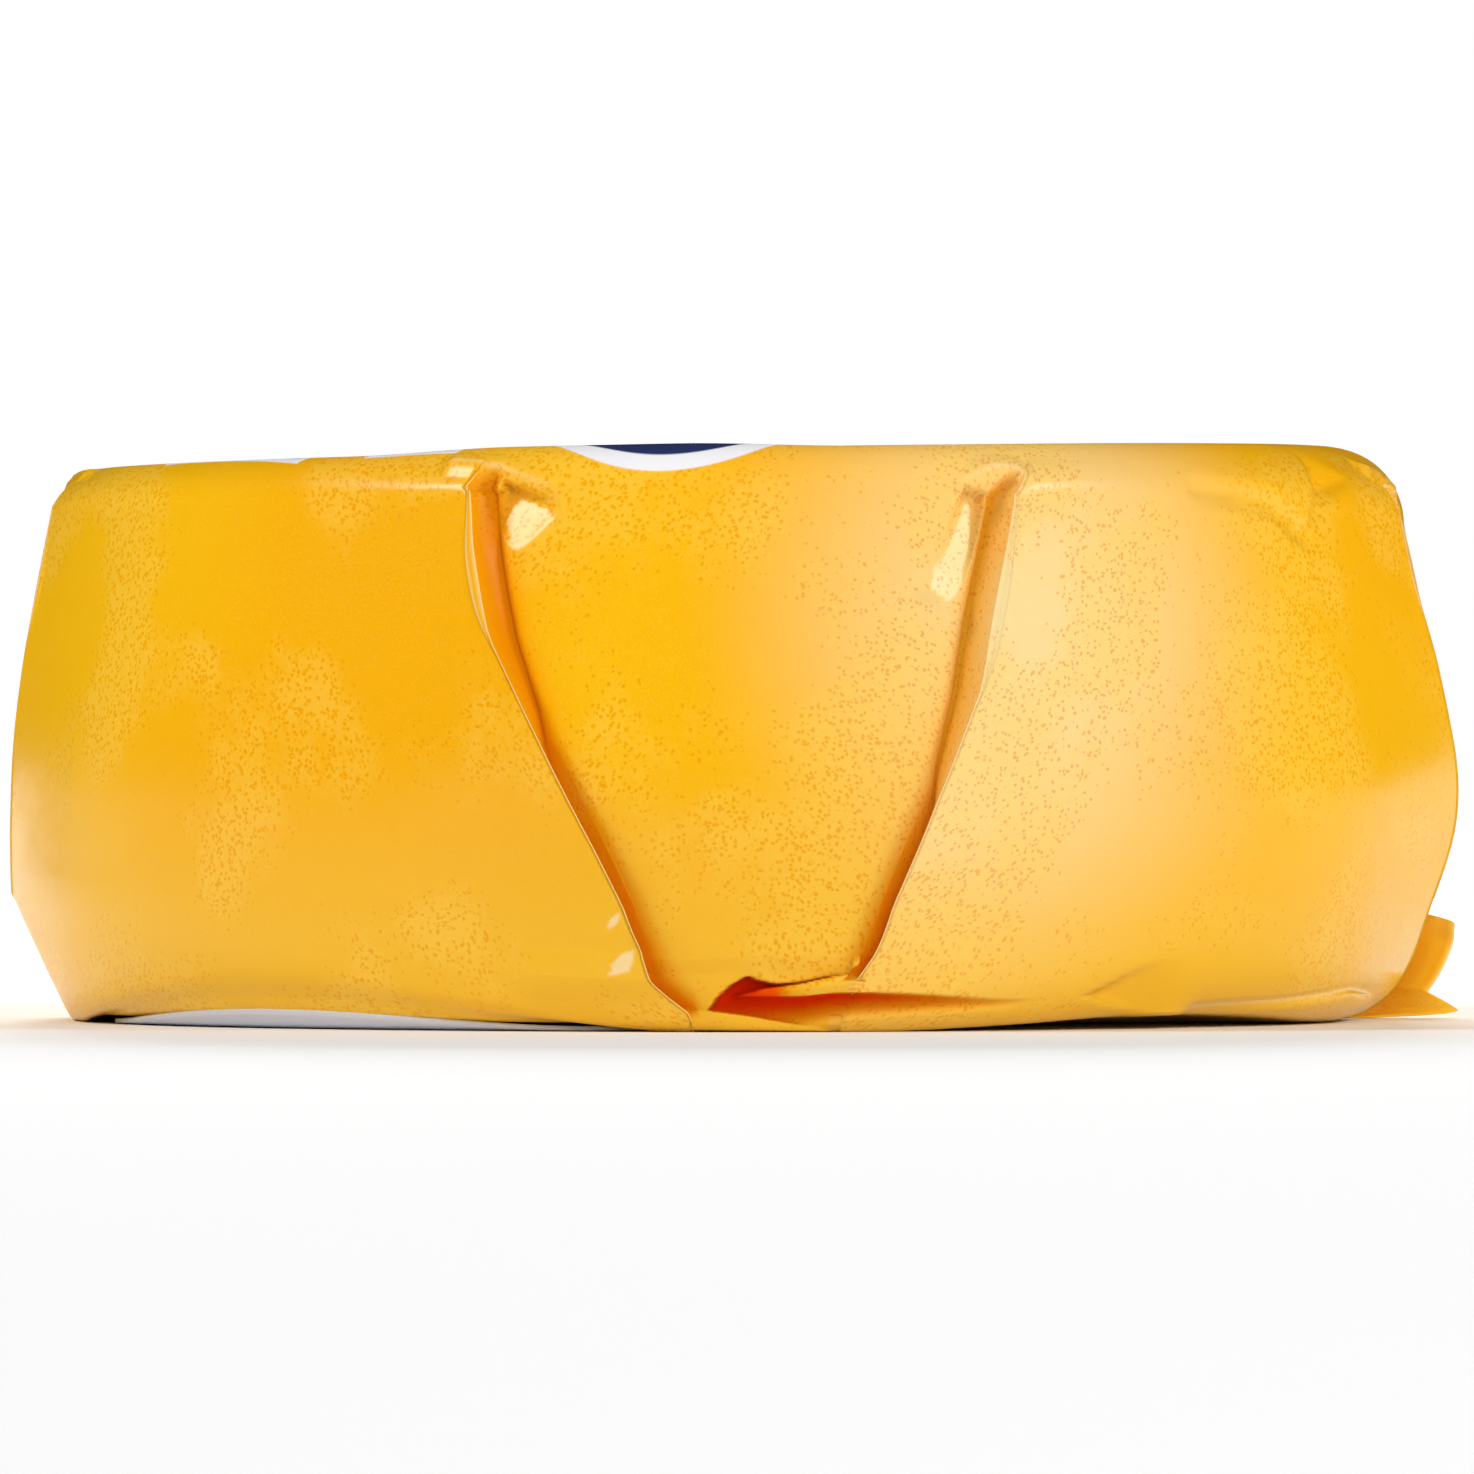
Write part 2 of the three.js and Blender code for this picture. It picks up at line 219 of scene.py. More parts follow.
for index, panel in enumerate(SIDE_PANELS):
    for turn, side in ((-1, "low"), (1, "high")):
        line = panel[side]
        knee = max((course for course, _ in line if course < 2.5))
        pleats.append(dict(line=line, knee=knee, head=float(np.interp(1.9, *zip(*line))), panel=index,
                           middle=panel["azimuth"], turn=turn))
FRONT_LEFT, FRONT_RIGHT = pleats[0], pleats[1]

PLEAT_STANDOFF = 1.7  # millimetres that a folded edge stands proud of the body
PLEAT_REACH = 17.0  # degrees over which the corner panel comes down from the edge
PLEAT_TUCK = 4.4  # millimetres from the folded edge back to the tuck's bottom
RIDGE_FOOT = 1.3  # the tuck's bottom shows this far beside the edge where the pleat stands up
TROUGH_DEPTH = 0.8  # the side panel dips beside the pleat
TROUGH_WIDTH = 0.8
BASE_STEP = 0.5  # side panels lie this much deeper in the base than corner panels
EAR = dict(panel=1, flare=3.5, top=7.8, tip_flare=7.6, tip_height=0.9, tip_half=1.5, reach=7.0)
print("pleats:", len(pleats))


# %% Where a pleat runs and how far it stands off
def folded_edge(pleat, course):
    return pleat["middle"] + pleat["turn"] * rule(course, *pleat["line"], blur=0.02)


def ridge_foot(pleat, course):
    """How far beside the edge the tuck's bottom lies: in sight down to the knee, then hidden."""
    knee = pleat["knee"]
    return rule(course, (1.7, 1.0), (2.0, RIDGE_FOOT), (knee, RIDGE_FOOT), (knee + 0.2, 0.3),
                (knee + 0.4, -3.0), (knee + 0.6, -PLEAT_TUCK), blur=0.05)


def standoff(course):
    return PLEAT_STANDOFF * rule(course, (1.5, 0), (1.72, 0.35), (2, 0.72), (2.35, 1), (2.8, 1),
                                 (3, 0.85), (3.5, 0.5), (4, 0), blur=0.03)


def ear_flare(pleat, course):
    if pleat["panel"] != EAR["panel"] or pleat["turn"] < 0:
        return np.zeros_like(course)
    height = sharp_section(folded_edge(pleat, course), course)[1]
    tab = EAR["flare"] * (1 - smooth(EAR["top"] - 0.6, EAR["top"] + 0.4, height)) * smooth(0, 0.7, height)
    near_tip = np.maximum(0, 1 - np.abs(height - EAR["tip_height"]) / EAR["tip_half"])
    tip = (EAR["tip_flare"] - EAR["flare"]) * near_tip
    return (tab + tip) * ((course > 2.5) & (course < 4))


def side_level(course):
    return -BASE_STEP * rule(course, (3.92, 0), (4.12, 1), (4.45, 1), (4.8, 0), blur=0.03)


# %% [markdown]
# The cross-section of a pleat is a short list of points, each a distance towards the side panel
# and a level. Where the sheet isn't folded yet, they lie closely side by side, so that the grid
# never tangles.

# %% The cross-section of a pleat
FLAT_SPACING = 0.07
EDGE_POINTS = 8
FLANK_STEPS = 8
BESIDE = (0.05, 0.11, 0.19, 0.29, 0.4, 0.52)  # millimetres past the tuck's bottom
FOLD_POINTS = EDGE_POINTS + FLANK_STEPS + len(BESIDE)
# Pale marks on the fold's edge: partly ink worn off, partly a painted highlight of the lamps.
EDGE_WEAR_AND_HIGHLIGHT = {2: 0.7, 4: 0.6, 5: 0.8}  # points on the roll's crest and on the sharp edge


def fold_profile(pleat, course):
    """Shift towards the side panel, level, flare, painted shade, and wear with painted highlight of each
    fold point, edge side first.
    """
    rolled = pleat is FRONT_RIGHT
    opens = 1.7 if rolled else 1.64
    folded = rule(course, (opens, 0), (opens + 0.12, 0.75), (opens + 0.3, 0.95), (2.1, 1), blur=0.02)
    folded = folded * (rule(course, (FLAP_END - 0.04, 1), (FLAP_END + 0.02, 0)) if rolled
                       else rule(course, (4.6, 1), (4.8, 0)))
    edge, panel = standoff(course), side_level(course)
    flare = ear_flare(pleat, course)
    foot = np.where(course < 4, ridge_foot(pleat, course), -PLEAT_TUCK)
    trough = TROUGH_DEPTH * (1 - smooth(2.5, 3.0, course))
    sunk = panel - trough
    thick = np.minimum(1, 2 * (edge - panel))
    knee = pleat["knee"]
    bead = rule(course, (1.98, 0.05), (mix(2, knee, 0.5), 1), (mix(2, knee, 0.8), 0.9), (knee + 0.03, 0),
                blur=0.02)
    points = [(-0.20 - 0.72 * bead, edge - 0.05 * thick, flare, 0),
              (-0.16 - 0.66 * bead, edge - 0.12 * thick, flare, 0),
              (-0.13 - 0.58 * bead, edge + 0.05 * thick, flare, 0),
              (-0.10 - 0.34 * bead, edge - 0.06 * thick, flare, 0),
              (-0.06, edge + 0.05 * thick, flare, 0),
              (-0.02, edge, flare, 0),
              (0.0, edge - 0.12 * thick, 0.97 * flare, 0.1),
              (-0.04, edge - 0.28 * thick, 0.92 * flare, 0.4)]
    for step in range(1, FLANK_STEPS + 1):
        share = step / FLANK_STEPS
        level = mix(edge - 0.28 * thick, sunk, share)
        # Painted shade on the fold's flank, lighter where the ear flares out.
        painted_shade = (0.45 + 0.65 * share) * (1 - np.minimum(flare / 1.5, 1))
        points.append((mix(-0.04, foot, share ** 1.4), level, 0.9 * flare * (1 - share), painted_shade))
    visible = np.maximum(foot, 0.0)
    low = smooth(2.6, 2.95, course)
    for step, beside in enumerate(BESIDE):
        share = (step + 1) / len(BESIDE)
        rise = sunk + 0.45 * share * trough
        # Painted shade beside the tuck, deeper towards the bottom.
        painted_shade = 1.1 - 0.75 * share * (1 - 0.8 * low) + 0.3 * low
        points.append((mix(foot, visible, min(1, 0.3 + share)) + beside, rise, 0 * flare, painted_shade))
    profile = []
    in_shade = folded * (edge > 0.3) * (1 - smooth(3.5, 3.65, course))
    edge_wear_and_highlight = folded * smooth(0.5, 1.0, edge)
    for place, (shift, level, out, shade) in enumerate(points):
        flat = (place - EDGE_POINTS + 1) * FLAT_SPACING
        crest = np.minimum(1, 3 * bead) if place == 2 else 1
        profile.append((mix(flat, shift, folded), mix(panel, level, folded ** 0.5), out, shade * in_shade,
                        EDGE_WEAR_AND_HIGHLIGHT.get(place, 0) * crest * edge_wear_and_highlight))
    return profile


print("points across one fold:", FOLD_POINTS)

# %% [markdown]
# ## Creases and dents
# Wrapping film is stiff, and where it is pulled into a pleat it breaks into sharp lines and small
# flats. A crease is a line along which the wall dips or stands up. A dent is a shallow pyramid
# pressed into the wall: its corners and its deepest point are given by azimuth and height.

# %% Pyramids and creases
WALL_RADIUS = 51.0  # millimetres, near enough everywhere on the wall


def mm_between(azimuth, height, place):
    """Offset in millimetres on the wall from a place given as (azimuth, height)."""
    return np.radians(wrap_degrees(azimuth - place[0])) * WALL_RADIUS, height - place[1]


def dent(azimuth, height, corners, deepest, depth):
    """A pyramid over a convex polygon. Its value is depth at the deepest point, 0 outside."""
    u, v = mm_between(azimuth, height, deepest)
    value = np.full(np.shape(u), np.inf)
    flat = [mm_between(np.array(a), np.array(h), deepest) for a, h in corners]
    for (u0, v0), (u1, v1) in zip(flat, flat[1:] + flat[:1]):
        across = (u1 - u0) * (v - v0) - (v1 - v0) * (u - u0)
        at_deepest = (u1 - u0) * (0 - v0) - (v1 - v0) * (0 - u0)
        value = np.minimum(value, across / at_deepest)
    return depth * np.clip(value, 0, 1)


def crease(azimuth, height, places, depth, width):
    """A line of level `depth` with straight flanks, `width` millimetres to each side."""
    nearest = np.full(np.shape(np.broadcast_arrays(azimuth, height)[0]), np.inf)
    for start, end in zip(places, places[1:]):
        u, v = mm_between(azimuth, height, start)
        du, dv = mm_between(np.array(end[0]), np.array(end[1]), start)
        t = np.clip((u * du + v * dv) / (du * du + dv * dv), 0, 1)
        nearest = np.minimum(nearest, np.hypot(u - t * du, v - t * dv))
    return depth * np.clip(1 - nearest / width, 0, 1)


def beside_head(pleat, *pairs):
    """Places given as degrees from a pleat's head towards its side panel, and heights."""
    head = pleat["middle"] + pleat["turn"] * pleat["head"]
    return [(head - pleat["turn"] * away, up) for away, up in pairs]


def head_ridge(pleat):
    """The crease that runs over a pleat's head."""
    if pleat is FRONT_RIGHT:
        return beside_head(pleat, (4.7, 38.8), (3.4, 39.3), (1.7, 39.75), (0.1, 39.7), (-0.6, 39.4))
    return beside_head(pleat, (-2.1, 40.0), (2.2, 39.7), (6.7, 38.5))


LOW_CREASE = [(42.3, 1.4), (56.6, 1.86), (68.0, 2.5), (78.0, 2.0)]  # a lobe hangs below it
LOBE_OUT = 0.4
WALL_CREASES = [  # places, level and width in millimetres
    ([(-16.0, 4.1), (-6.0, 3.8)], 0.35, 1.8),
    ([(42.0, 38.4), (50.7, 37.7), (56.0, 35.1)], -0.5, 1.2),
    (LOW_CREASE, -0.2, 0.6),
]


def relief(azimuth, height):
    """All creases and dents of the wall, as a level in millimetres, over two slow waves."""
    level = 0.10 * np.sin(np.radians(3 * azimuth + 40)) * np.sin(height / 7.0)
    level = level + 0.07 * np.sin(np.radians(7 * azimuth) + height / 9.0)
    for places, depth, width in [(head_ridge(pleat), 0.5, 1.0) for pleat in pleats] + WALL_CREASES:
        level = level + crease(azimuth, height, places, depth, width)
    corners, deepest = [(59.8, 41.5), (65.8, 39.3), (56.0, 35.1)], (60.5, 38.9)
    return level - dent(azimuth, height, corners, deepest, 0.9)


def lobe(azimuth, height):
    """How far the film below the low crease hangs out."""
    turn = wrap_degrees(azimuth)
    part = smooth(44, 60, turn) * (1 - smooth(74, 86, turn))
    return LOBE_OUT * part * (1 - smooth(-0.6, 0.4, height - rule(turn, *LOW_CREASE)))


# %% [markdown]
# A facet is a small flat of stiff film. Beside each pleat's head one is pressed in, turned just
# so far sideways and upward that a lamp shows in it as a sharp pale glint. A larger one faces the
# ground at the front right. It is given by its outline, by how softly each side sets in, by the
# way it faces, and by a place on the wall it runs through. Two leaf-like glints low on the front
# left flap are too small for this, so they are painted pale into the film's colour as highlights.

# %% Stiff facets
def facing(azimuth, elevation):
    around, up = math.radians(azimuth), math.radians(elevation)
    return np.array([math.sin(around) * math.cos(up), -math.cos(around) * math.cos(up), math.sin(up)])


def inside_share(azimuth, height, corners, softness):
    """1 inside a convex outline, 0 outside, set in over `softness` millimetres at each side."""
    middle = tuple(np.mean(corners, axis=0))
    flat = [mm_between(np.array(a), np.array(h), middle) for a, h in corners]
    u, v = mm_between(azimuth, height, middle)
    share = np.ones(np.shape(u))
    for (u0, v0), (u1, v1), soft in zip(flat, flat[1:] + flat[:1], softness):
        within = ((u1 - u0) * (v - v0) - (v1 - v0) * (u - u0)) / math.hypot(u1 - u0, v1 - v0)
        own_side = math.copysign(1, (v1 - v0) * u0 - (u1 - u0) * v0)
        share = np.minimum(share, np.clip(within * own_side / soft, 0, 1))
    return share


def outward_at(azimuth):
    """The level direction away from the middle, for each azimuth."""
    angle = np.radians(azimuth)
    return np.stack([np.sin(angle), -np.cos(angle), 0 * angle], -1)


def wall_place(azimuth, height):
    """The point of the plain body with this azimuth and height."""
    steps = np.linspace(1, 3.8, 561)
    course = float(np.interp(-height, -section(azimuth, steps)[1], steps))
    return float(section(azimuth, course)[0]) * facing(azimuth, 0) + np.array([0, 0, height])


def press_flat(places, azimuth, height, facet):
    """Move film straight outward or inward onto the facet's plane."""
    normal, outward = facing(*facet["faces"]), outward_at(azimuth)
    anchor = wall_place(*facet["through"]) - facet["sunk"] * facing(facet["through"][0], 0)
    gap = ((anchor - places) @ normal) / (outward @ normal)
    share = inside_share(azimuth, height, facet["outline"], facet["softness"])
    return places + (share * gap)[..., None] * outward


def head_facet(pleat):
    """The facet on the side panel beside a pleat's head. The hidden pleats have the same ones."""
    if pleat["turn"] > 0:
        return dict(
            outline=beside_head(pleat, (2.2, 38.0), (3.0, 35.8), (3.6, 34.0), (4.4, 30.8), (6.2, 29.4),
                                (9.2, 31.0), (4.6, 38.4)),
            softness=(0.15, 0.15, 0.15, 0.3, 0.4, 0.7, 0.3),
            faces=(pleat["middle"] + 30.3, 17.7), through=beside_head(pleat, (7.0, 31.8))[0], sunk=0.1)
    return dict(
        outline=beside_head(pleat, (2.5, 38.9), (7.1, 37.5), (7.5, 36.2), (4.0, 33.3), (2.3, 35.6)),
        softness=(0.35, 0.3, 0.3, 0.3, 0.15),
        faces=(pleat["middle"] - 29.7, 23.9), through=beside_head(pleat, (4.2, 33.7))[0], sunk=0.0)


LOW_FACET = dict(
    outline=[(38.9, 6.2), (30.0, 2.5), (37.6, 0.6), (44.0, 0.7)], softness=(0.3, 0.3, 0.5, 2.5),
    faces=(32.0, -30.0), through=(35.0, 2.4), sunk=0.6)
STIFF_FACETS = [head_facet(pleat) for pleat in pleats] + [LOW_FACET]
# Painted glints: two small dimples on the front left flap, given as outlines.
PAINTED_GLINT_SPOTS = [  # outlines as pairs of azimuth and height
    [(-9.8, 7.05), (-9.7, 7.95), (-9.2, 8.4), (-8.6, 8.7), (-8.55, 8.2), (-8.85, 7.7)],
    [(-9.85, 4.0), (-9.45, 5.0), (-8.75, 5.7), (-7.5, 6.1), (-7.6, 5.15), (-8.0, 4.35)],
]
print("stiff facets:", len(STIFF_FACETS), "painted glint spots:", len(PAINTED_GLINT_SPOTS))


# %% [markdown]
# ## The hem at the front
# At the bottom of the front the film doesn't close neatly. The side panel ends in a short tongue.
# The flap from the right rolls over into a lip, and under it a dark pocket opens, closed further
# down by a lower band. From the left flap's tip a narrow strip runs to the right. All of these
# are steps in how far the film stands out, ruled by azimuth and height.

# %% Lines and levels of the front hem
def step_up(line, height, soft=0.08):
    """0 below a line, 1 above it, within a very short rise."""
    return smooth(line - soft, line + soft, height)


def front_hem(azimuth, height, level, on_panel):
    """Level and shade of the film near the front hem, from the plain level there, back layer first."""
    panel_hem = rule(azimuth, (-2.3, 0.3), (-2.06, 1.55), (-1.3, 2.43), (-0.2, 3.3), (1.2, 4.0),
                     (1.8, 3.67), (3.35, 3.34), (5.4, 3.5), (7.4, 3.9), (9.5, 4.13))
    lip_top = rule(azimuth, (-0.1, 2.5), (2.35, 3.1), (5.4, 3.45), (7.4, 3.85), (9.4, 4.15), (9.7, 9.0))
    lip_low = rule(azimuth, (0, 2.45), (5.4, 2.5), (7.9, 2.74), (10.7, 2.78), (14.7, 2.6), (21.4, 2.2))
    strip_top = rule(azimuth, (-3.2, 1.6), (-2.1, 1.55), (1.3, 1.17), (4.3, 0.7), (6.9, 0.4), (8.0, 0.2))
    band_top = rule(azimuth, (-1, -1.0), (5, 0.3), (9, 1.0), (15, 1.35), (22, 1.7))

    depth = rule(azimuth, (-1, -3.2), (5, -2.8), (9, -2.0), (15, -1.2), (22, -0.4), (25, 0))
    gloom = rule(azimuth, (0, 2.0), (5, 2.0), (9, 1.9), (15, 1.5), (21, 0.7), (25, 0.0))
    under = smooth(band_top - 0.3, lip_low + 0.1, height)
    band = 0.35 * smooth(4, 8, azimuth) if on_panel else 0.5 * level
    result = mix(band, depth, under)
    # Painted shade: the pocket under the lip is darkened towards deep red through fold_shade.
    dark = gloom * under ** 0.7

    above = step_up(panel_hem, height) if on_panel else step_up(lip_low, height)
    film = np.minimum(level, -0.2 * (1 - smooth(4.0, 5.2, height))) if on_panel else level
    result = mix(result, film, above)
    dark = dark * (1 - above)
    if on_panel:
        lip = step_up(lip_low, height) * (1 - step_up(lip_top, height)) * smooth(-0.1, 0.3, azimuth)
        up = np.clip((height - lip_low) / np.maximum(lip_top - lip_low, 0.3), 0, 1)
        roll = 0.25 * np.sin(np.pi * up)
        result = mix(result, roll + rule(azimuth, (0, -1.6), (2.5, -0.2), (6.0, 0.6), (9.4, 1.1)), lip)
        dark = mix(dark, rule(azimuth, (0, 1.9), (3.4, 1.7), (4.6, 0.5), (6.5, 0.1)), lip)
        strip = (1 - step_up(strip_top, height)) * (1 - smooth(7.0, 8.5, azimuth))
        lean = 0.7 * (1 - np.clip(height / np.maximum(strip_top, 0.3), 0, 1))
        result, dark = mix(result, 0.2 + lean, strip), dark * (1 - strip)
    part = (1 - smooth(23, 26.5, azimuth)) * smooth(-8.0, -7.0, azimuth)
    return mix(level, result, part), dark * part


# %% [markdown]
# The pack's long edges aren't evenly round either. In a crate the packs press on one another, and
# flats stay at their edges. Each is a plane: what lies beyond it is set back onto it.

# %% Flattened edges
PACK_MIDDLE = np.array([0.0, 0.0, 20.0])
EDGE_FLATS = [(-88.0, -27.0, 53.3), (-72.0, 36.0, 54.2), (140.0, -30.0, 54.0), (-135.0, -30.0, 55.0)]


def beyond_plane(places, azimuth, elevation, reach):
    """Set back what lies beyond a plane that faces this way, at this reach from the pack's middle."""
    normal = facing(azimuth, elevation)
    past = np.maximum((places - PACK_MIDDLE) @ normal - reach, 0)
    return places - past[..., None] * normal


print("flattened edges:", len(EDGE_FLATS))

# %% [markdown]
# ## The grid of the wrapper
# The skin is one grid. Its columns run from the middle of the top to the middle of the base and
# follow the pleats, and its rows go round the pack. A wrapper could be sculpted too, but a grid
# whose lines follow each fold keeps the folds sharp with few faces. bmesh makes the flat grid, and
# then each vertex is carried to its folded place.

# %% Where a point lies in the flat sheet
def course_lengths(azimuth, course):
    """Millimetres of film from the middle of the top to this course, along a plain section."""
    steps = np.linspace(0, 5, 501)
    radius, height = sharp_section(azimuth, steps)
    run = np.concatenate([[0], np.cumsum(np.hypot(np.diff(radius), np.diff(height)))])
    return np.interp(course, steps, run)


def sheet_turn(azimuth, middle, course):
    """The angle in the flat sheet of a point on the panel round `middle`."""
    length = np.maximum(course_lengths(middle, course), 0.01)
    radius = sharp_section(middle, course)[0]
    away = wrap_degrees(azimuth - middle)
    return middle + away * np.minimum(1, radius / length)


CORNER_MIDDLES = [
    (a["azimuth"] + (b["azimuth"] + 360 * (b["azimuth"] < a["azimuth"]))) / 2
    for a, b in zip(SIDE_PANELS, SIDE_PANELS[1:] + SIDE_PANELS[:1])
]
print("corner panels stand at:", CORNER_MIDDLES)


# %% Rows and columns
ROWS = [  # a course, and the number of rows from there to the next one
    (0, 4), (0.7, 5), (1, 4), (1.3, 18), (2, 20), (2.25, 18), (2.85, 18), (3, 14), (3.18, 42),
    (3.7, 8), (3.95, 5), (4.3, 4), (5, 0)]
courses = np.concatenate([np.linspace(start, end, count, endpoint=False)
                          for (start, count), (end, _) in zip(ROWS, ROWS[1:])] + [[5.0]])


def fold_lines(pleat):
    """The lines of one fold, edge side first: azimuth, place in the flat sheet, level and flare."""
    corner_middle = CORNER_MIDDLES[pleat["panel"] - (pleat["turn"] < 0)]
    edge = folded_edge(pleat, courses)
    radius = np.maximum(sharp_section(edge, courses)[0], 1)
    size = np.minimum(1, radius / FRONT_SECTION["foot"])
    profile = fold_profile(pleat, courses)
    azimuth = [edge - pleat["turn"] * np.degrees(point[0] * size / radius) for point in profile]
    corner_side = sheet_turn(azimuth[0], corner_middle, courses)
    panel_side = sheet_turn(azimuth[-1], pleat["middle"], courses)
    lines = []
    for place, (_, level, flare, shade, wear) in enumerate(profile):
        share = place / (FOLD_POINTS - 1)
        if pleat is FRONT_RIGHT:
            share = np.where(courses < FLAP_END, share, float(place > FOLD_POINTS // 2))
        turned = corner_side + wrap_degrees(panel_side - corner_side) * share
        of_panel = pleat is FRONT_RIGHT or pleat is FRONT_LEFT and place >= EDGE_POINTS + FLANK_STEPS
        lines.append(dict(azimuth=azimuth[place], turned=turned, level=level, flare=flare, shade=shade,
                          wear=wear, owner="front panel" if of_panel else "fold",
                          late=pleat is FRONT_RIGHT))
    return lines


def panel_line(azimuth, middle, level, flare, shade):
    turned = sheet_turn(azimuth, middle, courses)
    owners = {SIDE_PANELS[0]["azimuth"]: "front panel", CORNER_MIDDLES[0]: "front corner"}
    return dict(azimuth=azimuth, turned=turned, level=level, flare=flare, shade=shade,
                wear=0 * shade, owner=owners.get(middle, "plain"))


SIDE_COLUMNS = (62, 22)  # across a side panel at the front, and elsewhere
CORNER_COLUMNS = (102, 36)


def columns():
    """Every column of the grid in order round the pack, from the first side panel on."""
    made = []
    for index, pleat in enumerate(pleats):
        after = pleats[(index + 1) % len(pleats)]
        over_side = pleat["turn"] < 0
        fold, following = fold_lines(pleat), fold_lines(after)
        made += fold if over_side else fold[::-1]
        start = made[-1]["azimuth"]
        end = (following[-1] if after["turn"] > 0 else following[0])["azimuth"]
        front = min(abs(wrap_degrees(pleat["middle"])), abs(wrap_degrees(after["middle"]))) < 50
        count = (SIDE_COLUMNS if over_side else CORNER_COLUMNS)[0 if front else 1]
        for step in range(1, count + 1):
            even = step / (count + 1)
            share = mix(even, (1 - math.cos(math.pi * even)) / 2, 0.8 if front else 0.6)
            azimuth = start + ((end - start) % 360) * share
            turns = [(beside, np.abs(wrap_degrees(azimuth - folded_edge(beside, courses))))
                     for beside in (pleat, after)]
            if over_side:
                level, shade = side_level(courses), 0 * courses
                for beside, turn in turns:
                    away = np.radians(turn) * WALL_RADIUS
                    past = away - np.maximum(ridge_foot(beside, courses), 0) - BESIDE[-1]
                    past = np.maximum(past, 0) / TROUGH_WIDTH
                    dip = rule(courses, (1.6, 0), (2.1, 1), (2.5, 1), (3.0, 0)) * np.exp(-past ** 1.3)
                    level = level - 0.55 * TROUGH_DEPTH * dip
                    # Painted shade on the side panel beside each pleat, kept as fold_shade.
                    shade = shade + 0.35 * dip ** 3
                    gloom = rule(courses, (2.3, 0), (2.75, 0.6), (3.0, 1.15), (3.45, 1.2), (3.6, 0))
                    far = rule(courses, (2.6, 1.3), (3.2, 2.4))
                    near = 1 - np.clip((away - 0.4) / (far - 0.4), 0, 1)
                    shade = np.maximum(shade, gloom * near ** 1.3)
                made.append(panel_line(azimuth, pleat["middle"], level, 0 * courses, shade))
            else:
                level, flare = 0 * courses, 0 * courses
                for beside, turn in turns:
                    level = level + standoff(courses) * np.maximum(0, 1 - turn / PLEAT_REACH) ** 2
                    flare = flare + ear_flare(beside, courses) * np.maximum(0, 1 - turn / EAR["reach"]) ** 2
                middle = CORNER_MIDDLES[pleat["panel"]]
                made.append(panel_line(azimuth, middle, level, flare, 0 * courses))
    return made


lines = columns()
print("grid:", len(lines), "columns,", len(courses), "rows")

# %% [markdown]
# The label under the base is as thick as card. The film gives way for it, so the base has a
# shallow round bed with a gap left round the paper.

# %% The label's bed in the base
LABEL_RADIUS = 33.0
LABEL_OFFSET = 19.2
LABEL_AZIMUTH = -43.0
LABEL_THICKNESS = 0.3
LABEL_GAP = 0.3
BED_MARGIN = 0.8
BED_RAMP = 2.5
TURN_LENGTH = 1.25  # film round the turn, for each millimetre of the hem's height


def bed_depth(azimuth, course):
    size = section_sizes(azimuth)
    reach = np.where(course >= 4, size["foot"] * (5 - course),
                     size["foot"] + (4 - course) * size["hem_height"] * TURN_LENGTH)
    turn = np.radians(azimuth - LABEL_AZIMUTH)
    away = np.sqrt(reach ** 2 + LABEL_OFFSET ** 2 - 2 * reach * LABEL_OFFSET * np.cos(turn))
    past = away - LABEL_RADIUS - BED_MARGIN
    return (LABEL_THICKNESS + LABEL_GAP) * (1 - smooth(0, BED_RAMP, past)) * (course >= 3)


# %% [markdown]
# Each point is set on the body, proud by its level and out by its flare. Then the facets are
# pressed in, the front hem is stepped, and the table holds what would hang lower. Each point also
# keeps two marks that are painted into the film's colour: its painted shade in a fold or in the
# pocket, and its paleness along sharp creases, partly wear and partly painted highlight.

# %% Fold the grid
HEM_ZONE = ((3.08, 3.14), (3.85, 3.97))  # courses over which the front hem sets in and ends


